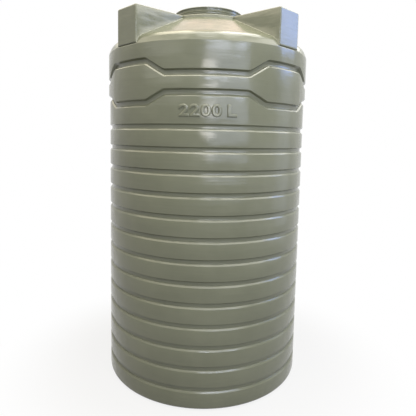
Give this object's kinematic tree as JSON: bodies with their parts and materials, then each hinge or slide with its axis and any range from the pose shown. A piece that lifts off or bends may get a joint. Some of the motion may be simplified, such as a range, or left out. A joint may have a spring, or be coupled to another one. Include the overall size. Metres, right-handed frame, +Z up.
{
  "type": "round upright water tank",
  "caption": "Upright round rotomoulded water tank with ribbed wall, zigzag belt, four shoulder lugs, screw lid, plugged outlet and open overflow.",
  "frame": {"origin": "on the tank's axis in the plane of its flat base", "axes": "+Z up along the tank's axis, -Y towards the front with the capacity mark, +Y towards the rear with the two connectors, +X to the right seen from the front"},
  "size_m": [1.234, 1.2886, 2.236],
  "materials": {
    "polyethylene": "moulded satin",
    "polypropylene": "moulded satin",
    "rubber": "matt"
  },
  "bodies": {
    "tank": {"tank_shell": "polyethylene", "outlet_body": "polypropylene", "outlet_outer_washer": "rubber", "outlet_inner_washer": "rubber", "outlet_back_nut": "polypropylene", "overflow_body": "polypropylene", "overflow_outer_washer": "rubber", "overflow_inner_washer": "rubber", "overflow_back_nut": "polypropylene"},
    "lid_ring": {"lid_seal": "rubber"},
    "lid": {"screw_lid": "polyethylene"},
    "plug_ring": {"outlet_plug_seal": "rubber"},
    "plug": {"outlet_plug": "polypropylene"}
  },
  "joints": [
    {"name": "lid_lift", "type": "slide", "parent": "tank", "child": "lid_ring", "axis": [0, 0, 1], "range_m": [0, 0.0181]},
    {"name": "lid_turn", "type": "hinge", "parent": "lid_ring", "child": "lid", "pos_m": [0, 0, 2.2], "axis": [0, 0, 1], "range_deg": [0, 540]},
    {"name": "plug_travel", "type": "slide", "parent": "tank", "child": "plug_ring", "axis": [0, 1, 0], "range_m": [0, 0.0116]},
    {"name": "plug_turn", "type": "hinge", "parent": "plug_ring", "child": "plug", "pos_m": [0, 0.63, 0.17165], "axis": [0, 1, 0], "range_deg": [0, 1800]}
  ],
  "couplings": [
    {"joint": "lid_lift", "follows": "lid_turn", "m_per_rad": 0.0019099},
    {"joint": "plug_travel", "follows": "plug_turn", "m_per_rad": 0.00036749}
  ]
}
